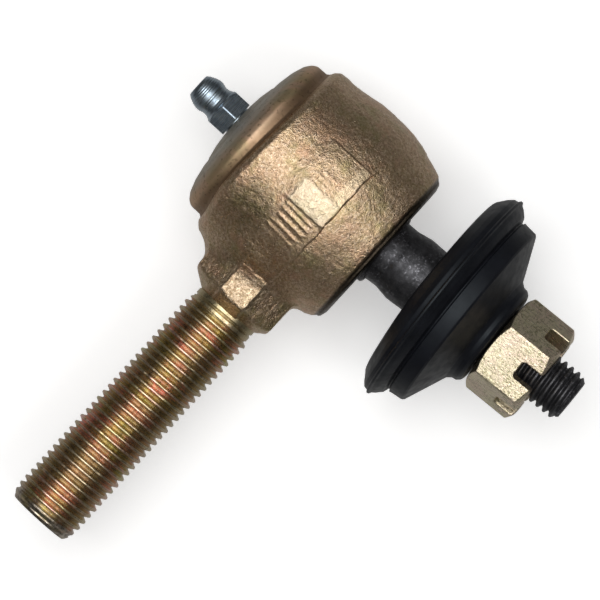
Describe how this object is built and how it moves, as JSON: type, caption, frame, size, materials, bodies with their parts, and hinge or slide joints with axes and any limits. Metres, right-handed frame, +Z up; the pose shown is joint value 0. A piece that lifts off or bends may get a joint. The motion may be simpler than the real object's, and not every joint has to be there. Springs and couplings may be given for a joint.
{
  "type": "tie rod end",
  "caption": "Steering tie rod end: forged eye with a threaded shank, swivelling ball stud, cover plate, grease nipple, rubber dust boot and slotted nut.",
  "frame": {"origin": "bottom centre of the part's box; the part lies on its side, as it does loose on a bench", "axes": "+X along the shank, out of its threaded end; +Y along the eye's bore, towards the side where the ball stud comes out; +Z up"},
  "size_m": [0.1024, 0.0898, 0.0449],
  "materials": {
    "yellow_zinc_forging": "forged steel with yellow-passivated zinc plating, rough skin, satin gloss",
    "yellow_zinc_plate": "stamped steel with yellow-passivated zinc plating",
    "clear_zinc": "turned steel with blue-clear zinc plating",
    "bearing_steel": "ground bearing steel, greased",
    "spring_steel": "drawn spring wire",
    "black_oxide_steel": "black oxide, satin with fine speckle",
    "black_rubber": "moulded black rubber, satin",
    "yellow_zinc_nut": "machined steel with yellow-passivated zinc plating"
  },
  "bodies": {
    "eye": {"housing": "yellow_zinc_forging", "cover_plate": "yellow_zinc_plate", "grease_nipple_body": "clear_zinc", "nipple_spring": "spring_steel", "pressure_spring": "spring_steel"},
    "check_ball": {"nipple_check_ball": "bearing_steel"},
    "cup": {"pressure_cup": "bearing_steel"},
    "seat_ring": {"bearing_ring": "bearing_steel"},
    "half_ball": {"half_ball_bearing": "black_oxide_steel"},
    "stud": {"ball_stud": "black_oxide_steel"},
    "boot": {"dust_boot": "black_rubber"},
    "nut": {"castle_nut": "yellow_zinc_nut"}
  },
  "joints": [
    {"name": "swing_direction", "type": "hinge", "parent": "eye", "child": "seat_ring", "pos_m": [-0.02718, -0.01315, 0.02024], "axis": [0, 1, 0], "continuous": true},
    {"name": "stud_tilt", "type": "hinge", "parent": "seat_ring", "child": "half_ball", "pos_m": [-0.02718, -0.01315, 0.02024], "axis": [0.8152, 0, 0.5791], "range_deg": [-25.51, 14.49]},
    {"name": "stud_spin", "type": "hinge", "parent": "half_ball", "child": "stud", "pos_m": [-0.02718, -0.01315, 0.02024], "axis": [-0.0557, 0.9954, 0.0783], "continuous": true},
    {"name": "boot_slide", "type": "slide", "parent": "half_ball", "child": "boot", "axis": [0.0557, -0.9954, -0.0783], "range_m": [0, 0.0102]},
    {"name": "nut_turn", "type": "hinge", "parent": "stud", "child": "nut", "pos_m": [-0.02973, 0.03254, 0.02384], "axis": [-0.0557, 0.9954, 0.0783], "continuous": true},
    {"name": "cup_slide", "type": "slide", "parent": "eye", "child": "cup", "axis": [0, -1, 0], "range_m": [0, 0.0006], "stiffness_N_per_m": 4000, "springref_m": -0.002, "deforming": ["pressure_spring"]},
    {"name": "check_ball_press", "type": "slide", "parent": "eye", "child": "check_ball", "axis": [0, 1, 0], "range_m": [0, 0.001], "stiffness_N_per_m": 150, "springref_m": -0.001, "deforming": ["nipple_spring"]}
  ]
}
